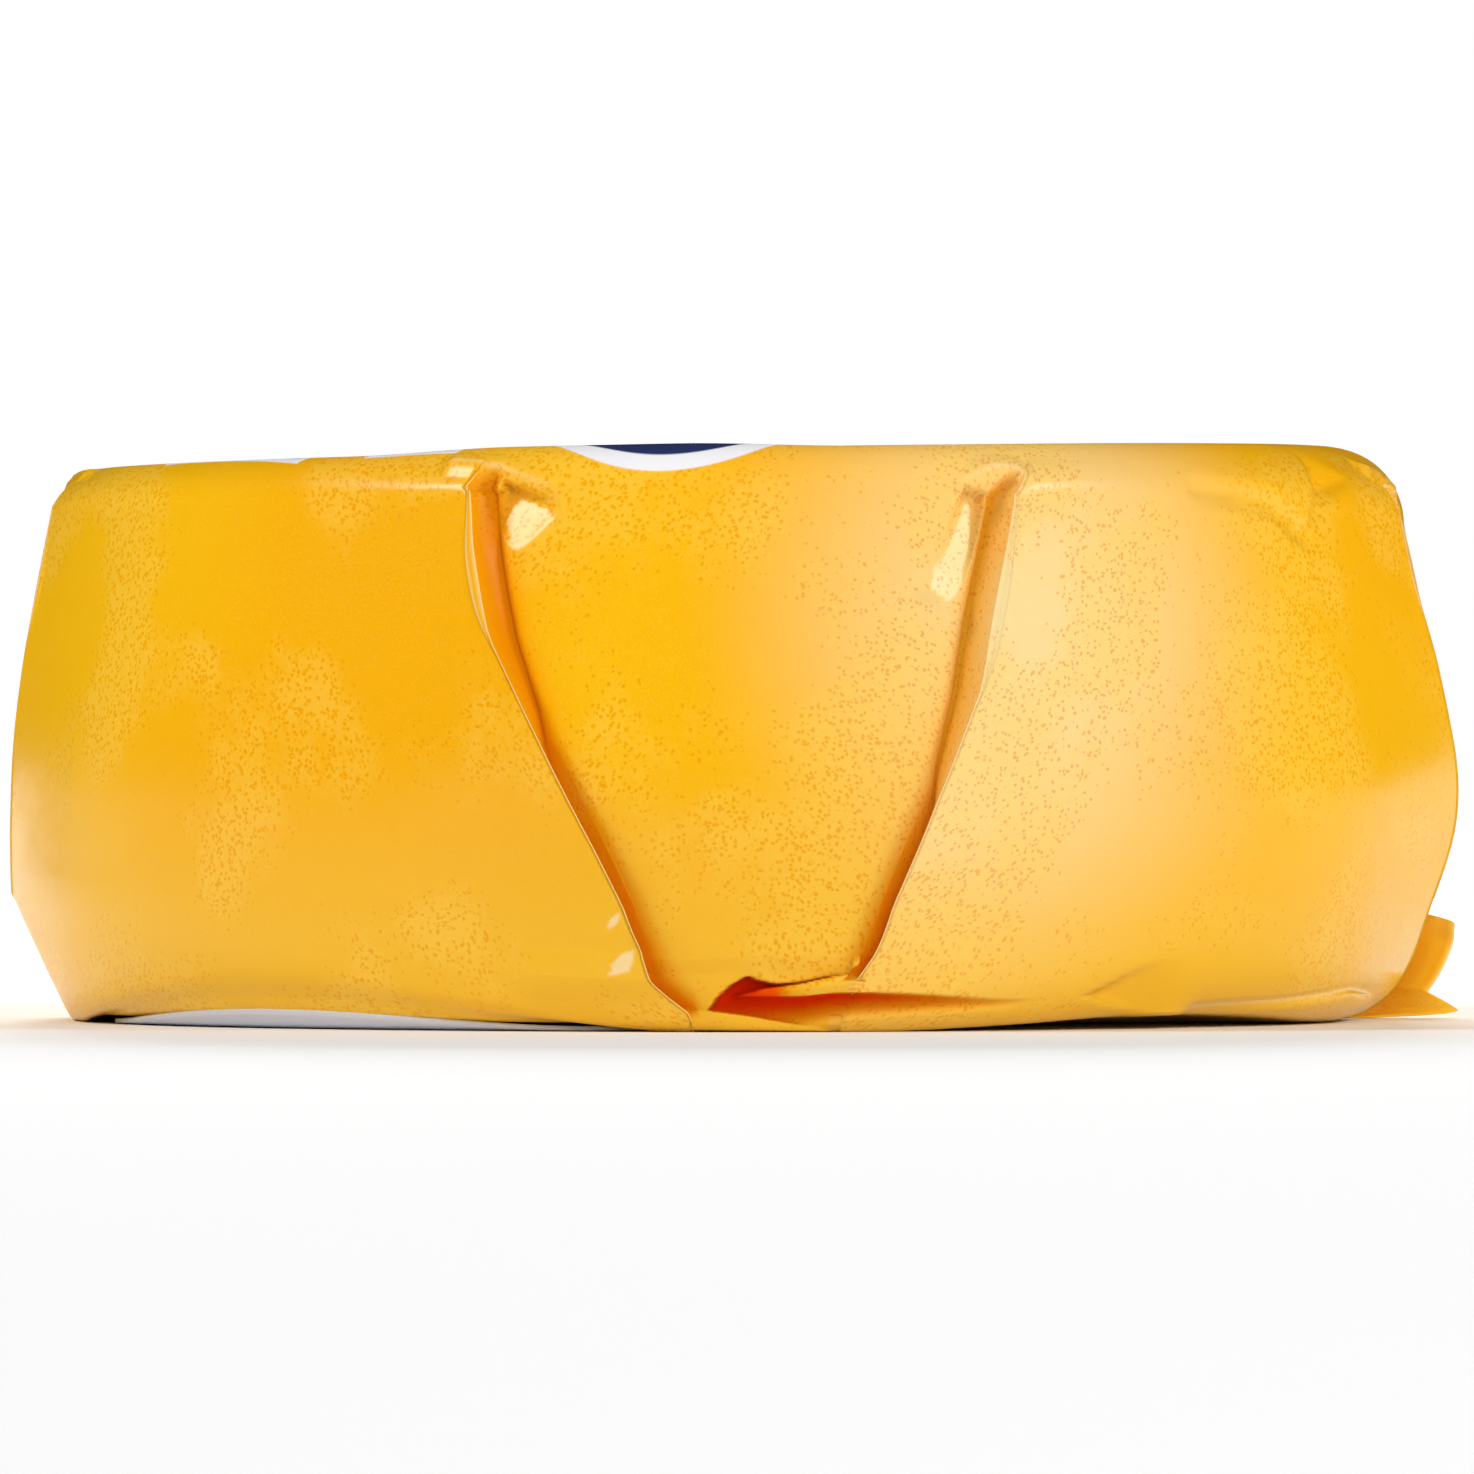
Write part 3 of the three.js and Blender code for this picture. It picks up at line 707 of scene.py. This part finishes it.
def folded_points():
    azimuth, level, flare, shade, wear = (
        np.stack([line[key] for line in lines]) for key in ("azimuth", "level", "flare", "shade", "wear"))
    course = np.broadcast_to(courses, azimuth.shape)
    owner = np.array([line["owner"] for line in lines])[:, None]
    late = np.array([line.get("late", False) for line in lines])[:, None]
    height = section(azimuth, course)[1]
    worked = smooth(1.1, 1.5, course) * (1 - smooth(3.85, 4.1, course))
    level = level + relief(azimuth, height) * worked
    flare = flare + lobe(azimuth, height) * worked
    places = body_point(azimuth, course, level - bed_depth(azimuth, course), flare)
    for facet in STIFF_FACETS:
        places = press_flat(places, azimuth, height, facet)
    outward = outward_at(azimuth)
    for part, on_panel in (("front panel", True), ("front corner", False)):
        hemmed, dark = front_hem(wrap_degrees(azimuth), places[..., 2], level, on_panel)
        zone = (owner == part) * smooth(*HEM_ZONE[0], course) * (1 - smooth(*HEM_ZONE[1], course))
        zone = zone * np.where(late, smooth(FLAP_END - 0.01, FLAP_END + 0.02, course), 1)
        places = places + (zone * (hemmed - level))[..., None] * outward
        cleared = zone * smooth(-3.5, -2.0, wrap_degrees(azimuth))
        shade = np.maximum(shade * (1 - cleared), dark * zone)
    for flat in EDGE_FLATS:
        places = beyond_plane(places, *flat)
    places[..., 2] = np.maximum(places[..., 2], 0)  # the table holds what would hang lower
    # Pale lines along the heads' ridges and the low crease: partly wear, partly painted highlight.
    for pleat in pleats:
        wear = np.maximum(wear, crease(azimuth, height, head_ridge(pleat), 0.5, 0.3) * worked)
    wear = np.maximum(wear, crease(azimuth, height, LOW_CREASE, 0.6, 0.25) * worked)
    # Painted highlight: two small glinting dimples on the front left flap are painted pale.
    for outline in PAINTED_GLINT_SPOTS:
        spot = inside_share(azimuth, height, outline, (0.2,) * len(outline))
        wear = np.maximum(wear, spot * (level > 1))
    return places, shade, wear


points, shades, wear = folded_points()
print("folded box, mm:", points.min((0, 1)).round(2), points.max((0, 1)).round(2))


# %% Carry a bmesh grid to the folded points
def object_from(bm, name):
    mesh = bpy.data.meshes.new(name)
    bm.to_mesh(mesh)
    bm.free()
    mesh.shade_smooth()
    piece = bpy.data.objects.new(name, mesh)
    scene.collection.objects.link(piece)
    return piece


def skin_from_grid(name, places, sheet, **marks):
    """A closed skin over places[column][row]. The first and last rows are poles."""
    column_count, row_count = places.shape[:2]
    bm = bmesh.new()
    bmesh.ops.create_grid(bm, x_segments=column_count, y_segments=row_count - 1, size=1.0)
    uv = bm.loops.layers.uv.new("sheet")
    for mark in marks:
        bm.verts.layers.float.new(mark)
    layers = {mark: bm.verts.layers.float[mark] for mark in marks}
    spots = {}
    for vert in bm.verts:
        column = round((vert.co.x + 1) / 2 * column_count)
        row = round((1 - vert.co.y) / 2 * (row_count - 1))
        spots[vert] = (column, row)
        vert.co = places[column % column_count][row] * MM
        for mark, layer in layers.items():
            vert[layer] = marks[mark][column % column_count][row]
    for face in bm.faces:
        for loop in face.loops:
            column, row = spots[loop.vert]
            loop[uv].uv = sheet[column % column_count][row]
    joins = [vert for vert, (column, row) in spots.items()
             if column in (0, column_count) or row in (0, row_count - 1)]
    bmesh.ops.remove_doubles(bm, verts=joins, dist=0.0005 * MM)
    bmesh.ops.recalc_face_normals(bm, faces=bm.faces)
    return object_from(bm, name)


SHEET_SPAN = 200.0  # millimetres across the sheet's UV square
BELLY_ROW = int(np.searchsorted(courses, 2.5))
lengths = np.stack([course_lengths(line["azimuth"][BELLY_ROW], courses) for line in lines])
turned = np.radians(np.stack([line["turned"] for line in lines]))
sheet = np.stack([lengths * np.sin(turned), -lengths * np.cos(turned)], -1) / SHEET_SPAN + 0.5
print("sheet corner to corner, mm:", np.ptp(sheet.reshape(-1, 2), axis=0).round(3) * SHEET_SPAN)
wrapper = skin_from_grid("wrapper_skin", points, sheet, fold_shade=shades, crease_wear=wear)
print("wrapper:", len(wrapper.data.vertices), "vertices")

# %% [markdown]
# The pleats were measured from the middle of the front, which lies a little to the left of the
# box's middle. So the skin's middle moves left, and its ends stay where the frame has them.

# %% Put it exactly in the frame's box
MIDDLE_LEFT = 1.15  # millimetres
LESS_AT_TOP = 0.45


def fitted(piece, low, high):
    """The places of the piece's vertices, stretched to fill a box of the frame."""
    places = np.array([vert.co for vert in piece.data.vertices])
    low, high = np.array(low), np.array(high)
    scale = (high - low) / np.ptp(places, axis=0)
    print(piece.name, "is scaled to the frame by", scale.round(4))
    return low + (places - places.min(0)) * scale


places = fitted(wrapper, pack_low, pack_high)
shift = MIDDLE_LEFT - LESS_AT_TOP * smooth(28, 38, places[:, 2] / MM)
places[:, 0] -= shift * MM * (1 - (places[:, 0] / pack_high[0]) ** 2)
wrapper.data.vertices.foreach_set("co", places.ravel())
wrapper.data.update()

# %% [markdown]
# ## Materials
# A material here is a small network of nodes. One function adds a node with its settings and its
# links, and one turns a written colour into the linear light values that the renderer works with.

# %% Node and colour helpers
def linear(hex_colour):
    values = [int(hex_colour[i:i + 2], 16) / 255 for i in (1, 3, 5)]
    return [v / 12.92 if v <= 0.04045 else ((v + 0.055) / 1.055) ** 2.4 for v in values] + [1.0]


def add(material, kind, *inputs, **settings):
    """Add a node. Inputs are given in the order of its sockets; None keeps a socket as it is."""
    node = material.node_tree.nodes.new(kind)
    for name, value in settings.items():
        setattr(node, name, value)
    for socket, value in zip(node.inputs, inputs):
        if isinstance(value, bpy.types.NodeSocket):
            material.node_tree.links.new(value, socket)
        elif value is not None:
            socket.default_value = value
    return node.outputs


def new_material(name):
    material = bpy.data.materials.new(name)
    material.use_nodes = True
    return material, material.node_tree.nodes["Principled BSDF"]


# %% [markdown]
# ## The printed film
# The wrapper is a glossy laminated paper, printed by gravure in a warm cheese yellow. The print
# runs from a deep gold to a soft cream glow near one corner, and patches of tiny holes are
# printed on it like the eyes of a cheese. An image could carry the print, but here it is drawn by
# nodes on the flat sheet, in millimetres, so at each pleat it jumps as a real print does.

# %% The flat sheet's position
film, film_shader = new_material("printed_film")
sheet_uv = add(film, "ShaderNodeUVMap", uv_map="sheet")[0]
centred = add(film, "ShaderNodeVectorMath", sheet_uv, (0.5, 0.5, 0.0), operation="SUBTRACT")[0]
spot = add(film, "ShaderNodeVectorMath", centred, (SHEET_SPAN,) * 3, operation="MULTIPLY")[0]
from_centre = add(film, "ShaderNodeVectorMath", spot, operation="LENGTH")[1]


# %% The yellow field and its glow
def cloud(size_mm, detail, seed):
    """Soft noise on the sheet with features about this large."""
    return add(film, "ShaderNodeTexNoise", spot, seed, 1 / size_mm, detail, 0.5, noise_dimensions="4D")[0]


def ink_or_painted_light(ground, measure, start, end, strength, colour):
    """Lay a colour over the ground, from none where the measure is `start` to `strength` at `end`: printed
    ink, and also painted shade and painted highlight.
    """
    share = add(film, "ShaderNodeMapRange", measure, start, end, 0.0, strength,
                interpolation_type="SMOOTHSTEP")[0]
    return add(film, "ShaderNodeMixRGB", share, ground, linear(colour))[0]


def away_from(turned, length):
    """Millimetres on the sheet from a point at this angle and distance from the sheet's middle."""
    angle = math.radians(turned)
    place = (length * math.sin(angle), -length * math.cos(angle), 0.0)
    return add(film, "ShaderNodeVectorMath", spot, place, operation="DISTANCE")[1]


field = add(film, "ShaderNodeRGB")[0]
field.default_value = linear("#FAB203")
field = ink_or_painted_light(field, cloud(38.0, 1.0, 1.0), 0.35, 0.7, 1.0, "#FCBE06")
field = ink_or_painted_light(field, from_centre, 68.0, 86.0, 0.7, "#F7C232")
GLOWS = [(25.0, 63.5, 31.5), (118.0, 66.0, 22.0), (-158.0, 70.0, 24.0)]  # sheet angle, distance, radius
for turned_by, distance, radius in GLOWS:
    field = ink_or_painted_light(field, away_from(turned_by, distance), radius, 0.12 * radius, 0.92, "#F9DF9E")
field = ink_or_painted_light(field, cloud(0.16, 1.0, 7.0), 0.52, 0.75, 0.14, "#FFDB70")
print("glows on the sheet:", len(GLOWS))

# %% [markdown]
# The printed holes are Voronoi cells. Where they crowd, the ground between them is a pale net and
# each cell's centre is a darker dot. A random value per cell leaves some cells empty at the rim of
# a patch, and soft noise gathers the holes into patches.

# %% Printed holes
HOLE_SPACING = 0.38  # millimetres between neighbouring cells
wobble = add(film, "ShaderNodeTexNoise", spot, None, 1.6, 1.0, 0.5)[1]
pushed = add(film, "ShaderNodeVectorMath", wobble, (0.4, 0.4, 0.0), spot, operation="MULTIPLY_ADD")[0]
cell_distance, cell_colour = add(film, "ShaderNodeTexVoronoi", pushed, None, 1 / HOLE_SPACING,
                                 feature="F1")[:2]
chance = add(film, "ShaderNodeSeparateColor", cell_colour)[0]
crowd = add(film, "ShaderNodeMapRange", cloud(14.0, 4.0, 4.0), 0.42, 0.6,
            interpolation_type="SMOOTHSTEP")[0]
gathered = add(film, "ShaderNodeMath", crowd, 1.5, operation="MULTIPLY")[0]
present = add(film, "ShaderNodeMath", chance, gathered, operation="LESS_THAN")[0]
between = add(film, "ShaderNodeMapRange", cell_distance, 0.3, 0.5)[0]
centre = add(film, "ShaderNodeMapRange", cell_distance, 0.42, 0.2)[0]
net = add(film, "ShaderNodeMath", between, crowd, operation="MULTIPLY")[0]
holes = add(film, "ShaderNodeMath", centre, present, operation="MULTIPLY")[0]
field = ink_or_painted_light(field, net, 0.0, 1.0, 0.36, "#FFD050")
field = ink_or_painted_light(field, holes, 0.0, 1.0, 0.6, "#EE9A00")

# %% [markdown]
# Inside a fold the light bounces from yellow film to yellow film and turns orange, and in the
# pocket under the lip deep red. That shade is painted into the film's colour from the fold_shade
# mark. The sharp folds show paler, partly as ink lost at the fold and partly as a painted
# highlight where a fold's edge catches the lamps; two small dimples on the front left flap get
# the same painted highlight.

# %% Painted shade in folds, and worn and highlighted creases
painted_fold_shade = add(film, "ShaderNodeAttribute", attribute_name="fold_shade")[2]
# Painted shade: the fold_shade mark darkens folds towards orange, and above 1 the pocket towards deep red.
painted_fold_tint = add(film, "ShaderNodeMapRange", painted_fold_shade, 0.0, 1.0, 0.0, 0.95)[0]
field = add(film, "ShaderNodeMixRGB", painted_fold_tint, field, linear("#EBB82C"), blend_type="MULTIPLY")[0]
field = ink_or_painted_light(field, painted_fold_shade, 1.0, 2.0, 0.95, "#F03200")
crease_wear = add(film, "ShaderNodeAttribute", attribute_name="crease_wear")[2]
# Painted highlight and wear: sharp folds, ridges and two small dimples show paler.
field = ink_or_painted_light(field, crease_wear, 0.0, 1.0, 0.7, "#FFE6B4")


# %% [markdown]
# On top of the pack the print has a dark oval, a blue bar and a small red bar, each with a white
# rim. Only their edges reach the rounded front edge. The distance to a shape's outline picks ink,
# rim or ground.

# %% Printed patches
def local(centre, turn):
    """The sheet position in a patch's own axes."""
    return add(film, "ShaderNodeMapping", spot, (*centre, 0.0), (0.0, 0.0, math.radians(turn)),
               vector_type="TEXTURE")[0]


PRINT_EDGE = 0.12  # millimetres over which one ink gives way to the next
RIM_WHITE = "#F4F3F6"


def rimmed(below, reach, outline, unit, rim, colour):
    """Print a white shape out to the rim and the colour on it. The unit is one millimetre of reach."""
    edge, outer = PRINT_EDGE * unit, outline + rim * unit
    white = ink_or_painted_light(below, reach, outer + edge, outer - edge, 1.0, RIM_WHITE)
    return ink_or_painted_light(white, reach, outline + edge, outline - edge, 1.0, colour)


def oval_patch(below, centre, half_width, half_height, rim, colour):
    shrunk = add(film, "ShaderNodeVectorMath", local(centre, 0), (1 / half_width, 1 / half_height, 0.0),
                 operation="MULTIPLY")[0]
    reach = add(film, "ShaderNodeVectorMath", shrunk, operation="LENGTH")[1]
    return rimmed(below, reach, 1, 1 / half_height, rim, colour)


def bar_patch(below, centre, turn, half_width, half_height, rim, colour):
    axes = add(film, "ShaderNodeSeparateXYZ", local(centre, turn))
    past = []
    for axis, half in ((0, half_width), (1, half_height)):
        size = add(film, "ShaderNodeMath", axes[axis], operation="ABSOLUTE")[0]
        past.append(add(film, "ShaderNodeMath", size, half, operation="SUBTRACT")[0])
    reach = add(film, "ShaderNodeMath", *past, operation="MAXIMUM")[0]
    return rimmed(below, reach, 0, 1, rim, colour)


field = oval_patch(field, (-4.6, -39.6), 8.2, 8.1, 1.5, "#2B3560")
field = bar_patch(field, (-31.9, -25.4), -51.5, 7.2, 5.6, 1.0, "#6FA3D8")
field = bar_patch(field, (-20.5, -35.5), -30, 3.0, 5.3, 0.9, "#D8262C")

# %% The film's gloss and fine relief
dimples = add(film, "ShaderNodeMath", holes, -0.04, cloud(7.0, 3.0, 9.0), operation="MULTIPLY_ADD")[0]
film_bump = add(film, "ShaderNodeBump", 0.25, 0.0003, None, dimples)[0]
gloss = add(film, "ShaderNodeMapRange", cloud(16.0, 2.0, 6.0), 0.2, 0.8, 0.18, 0.26)[0]
mirror = add(film, "ShaderNodeMapRange", painted_fold_shade, 0.0, 0.6, 0.4, 0.06)[0]
for value, socket in ((field, "Base Color"), (gloss, "Roughness"), (mirror, "Specular IOR Level"),
                      (film_bump, "Normal")):
    film.node_tree.links.new(value, film_shader.inputs[socket])
film_shader.inputs["IOR"].default_value = 1.35
wrapper.data.materials.append(film)

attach(wrapper, "root")
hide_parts("wrapped_pack")

# %% [markdown]
# ## The paper label
# A round white paper label holds the turned-in film under the base. At the front left it reaches
# past the flat of the base, so there its rim follows the turn upward and shows as a thin white
# sliver. A line of vertices is spun into a disc, the disc is extruded to the thickness of the
# paper, and each vertex is then laid on the base.

# %% The label
def label_place(x, y, depth):
    """Where a point of the flat label comes to lie, depth millimetres inside its outer face."""
    centre = math.radians(LABEL_AZIMUTH)
    x, y = x + LABEL_OFFSET * math.sin(centre), y - LABEL_OFFSET * math.cos(centre)
    azimuth, reach = math.degrees(math.atan2(x, -y)), math.hypot(x, y)
    size = section_sizes(azimuth)
    if reach <= size["foot"]:
        return np.array([x, y, depth])
    return body_point(azimuth, 4 - (reach - size["foot"]) / (size["hem_height"] * TURN_LENGTH), -depth)


bm = bmesh.new()
spokes = [bm.verts.new((LABEL_RADIUS * share, 0, 0)) for share in np.sqrt(np.linspace(0, 1, 25))]
rim_edges = [bm.edges.new(pair) for pair in zip(spokes, spokes[1:])]
bmesh.ops.spin(bm, geom=spokes + rim_edges, cent=(0, 0, 0), axis=(0, 0, 1), steps=144, angle=2 * math.pi,
               use_merge=True)
bmesh.ops.remove_doubles(bm, verts=bm.verts, dist=0.001)
raised = bmesh.ops.extrude_face_region(bm, geom=bm.faces[:])["geom"]
upper = [part for part in raised if isinstance(part, bmesh.types.BMVert)]
bmesh.ops.translate(bm, vec=(0, 0, LABEL_THICKNESS), verts=upper)
for vert in bm.verts:
    vert.co = label_place(vert.co.x, vert.co.y, vert.co.z)
bmesh.ops.recalc_face_normals(bm, faces=bm.faces)
label = object_from(bm, "paper_label")
label.data.vertices.foreach_set("co", fitted(label, *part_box("base_label")).ravel())
print("label:", len(label.data.polygons), "faces")

label_paper, label_shader = new_material("coated_paper")
label_shader.inputs["Base Color"].default_value = linear("#D6D5DA")
label_shader.inputs["Roughness"].default_value = 0.5
label.data.materials.append(label_paper)
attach(label, "root")
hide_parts("base_label")

# %% [markdown]
# ## Floor, light and camera
# The pack stands on a matt white board, in the light of a small product studio: a softbox at the
# left and one at the right, both so high that only the stiff facets mirror them into the lens, a
# large one behind and a weak, wide one in front. The last two and the pale air give light but no
# reflection, as flags would see to in a studio, so the yellow stays deep.

# %% The floor
bm = bmesh.new()
bmesh.ops.create_grid(bm, x_segments=1, y_segments=1, size=0.9)
floor = object_from(bm, "floor")
floor_paint, floor_shader = new_material("matt_white_board")
floor_shader.inputs["Base Color"].default_value = linear("#FEFEFE")
floor_shader.inputs["Roughness"].default_value = 0.9
floor.data.materials.append(floor_paint)

# %% The studio air: pale to the eye, dim as a light
world = bpy.data.worlds.new("studio")
world.use_nodes = True
surround = world.node_tree.nodes["Background"]
surround.inputs["Color"].default_value = (1, 1, 1, 1)
eye = add(world, "ShaderNodeLightPath")["Is Camera Ray"]
strength = add(world, "ShaderNodeMapRange", eye, 0.0, 1.0, 0.30, 1.0)[0]
world.node_tree.links.new(strength, surround.inputs["Strength"])
world.cycles_visibility.glossy = False
scene.world = world


# %% Softboxes
LAMP_DISTANCE = 1.3
LAMP_TARGET = Vector((0.0, 0.0, 0.02))


def softbox(name, azimuth, elevation, width, power):
    """A square lamp that stands this way from the pack and shines on it."""
    lamp = bpy.data.lights.new(name, "AREA")
    lamp.shape = "SQUARE"
    lamp.size = width
    lamp.energy = power
    lamp_object = bpy.data.objects.new(name, lamp)
    lamp_object.location = Vector(facing(azimuth, elevation) * LAMP_DISTANCE) + LAMP_TARGET
    aim = LAMP_TARGET - lamp_object.location
    lamp_object.rotation_euler = aim.to_track_quat("-Z", "Y").to_euler()
    scene.collection.objects.link(lamp_object)
    return lamp_object


softbox("softbox_left", -70, 40, 0.25, 6.2)
softbox("softbox_right", 66, 30, 0.24, 3.9)
back = softbox("back_light", 180, 25, 0.5, 17.7)
fill = softbox("front_fill", 22, 16, 0.8, 5.4)
back.visible_glossy = fill.visible_glossy = False
print("lamps:", len(bpy.data.lights))

# %% [markdown]
# The camera looks level at the pack from a step away. The lens follows from the width it has to
# frame and from the distance.

# %% The camera
CAMERA_DISTANCE = 1.2
EYE_HEIGHT = 0.0208
FRAME_WIDTH = 0.108339  # metres across the frame at the pack's middle
camera_data = bpy.data.cameras.new("camera")
camera_data.sensor_width = 36.0
camera_data.lens = camera_data.sensor_width * CAMERA_DISTANCE / FRAME_WIDTH
camera = bpy.data.objects.new("camera", camera_data)
camera.location = (0, -CAMERA_DISTANCE, EYE_HEIGHT)
camera.rotation_euler = (math.radians(90), 0, 0)
scene.collection.objects.link(camera)
scene.camera = camera
scene.view_settings.view_transform = "Standard"
